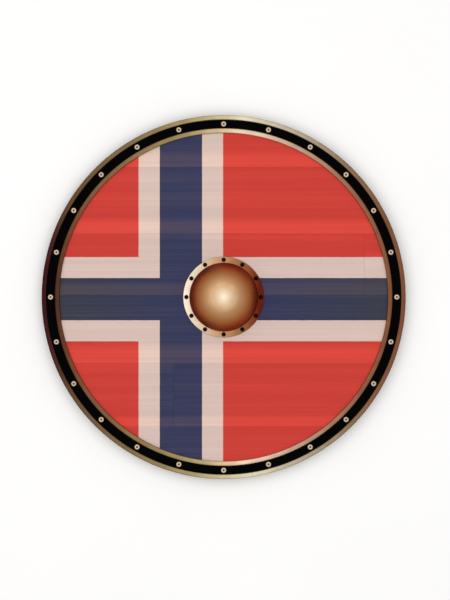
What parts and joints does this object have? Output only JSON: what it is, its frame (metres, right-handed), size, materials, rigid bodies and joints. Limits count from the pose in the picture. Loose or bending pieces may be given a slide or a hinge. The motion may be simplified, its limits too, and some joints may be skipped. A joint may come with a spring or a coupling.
{
  "type": "wooden round shield",
  "caption": "Round wooden shield of butted boards painted with a cross, with a bronze-edged leather rim, a hollow bronze boss over the hand hole, and a grip bar and battens behind.",
  "frame": {"origin": "on the ground under the centre of the shield, which lies on its two battens with the painted face up", "axes": "+Z out of the painted face, +Y towards the top of the painted cross, +X to the right of the painted face"},
  "size_m": [0.8, 0.8, 0.092],
  "materials": {
    "painted_boards": "thin matt paint over straight grain, three colours in front, bare behind",
    "bare_wood": "planed, oiled",
    "rim_bronze": "satin, patinated",
    "boss_bronze": "spun, polished at the crown and dark at the foot",
    "rivet_brass": "satin",
    "black_leather": "matt, oiled",
    "black_iron": "blackened"
  },
  "bodies": {
    "root": {"board_1": "painted_boards", "board_2": "painted_boards", "board_3_left": "painted_boards", "board_3_right": "painted_boards", "board_4": "painted_boards", "board_5_left": "painted_boards", "board_5_right": "painted_boards", "board_6": "painted_boards", "rim_channel": "rim_bronze", "rim_leather_band": "black_leather", "rim_rivet_01": "rivet_brass", "rim_rivet_02": "rivet_brass", "rim_rivet_03": "rivet_brass", "rim_rivet_04": "rivet_brass", "rim_rivet_05": "rivet_brass", "rim_rivet_06": "rivet_brass", "rim_rivet_07": "rivet_brass", "rim_rivet_08": "rivet_brass", "rim_rivet_09": "rivet_brass", "rim_rivet_10": "rivet_brass", "rim_rivet_11": "rivet_brass", "rim_rivet_12": "rivet_brass", "rim_rivet_13": "rivet_brass", "rim_rivet_14": "rivet_brass", "rim_rivet_15": "rivet_brass", "rim_rivet_16": "rivet_brass", "rim_rivet_17": "rivet_brass", "rim_rivet_18": "rivet_brass", "rim_rivet_19": "rivet_brass", "rim_rivet_20": "rivet_brass", "rim_rivet_21": "rivet_brass", "rim_rivet_22": "rivet_brass", "rim_rivet_23": "rivet_brass", "rim_rivet_24": "rivet_brass", "boss": "boss_bronze", "boss_rivet_01": "black_iron", "boss_rivet_02": "black_iron", "boss_rivet_03": "black_iron", "boss_rivet_04": "black_iron", "boss_rivet_05": "black_iron", "boss_rivet_06": "black_iron", "boss_rivet_07": "black_iron", "boss_rivet_08": "black_iron", "boss_rivet_09": "black_iron", "boss_rivet_10": "black_iron", "boss_rivet_11": "black_iron", "boss_rivet_12": "black_iron", "grip_bar": "bare_wood", "batten_left": "bare_wood", "batten_right": "bare_wood"}
  },
  "joints": []
}
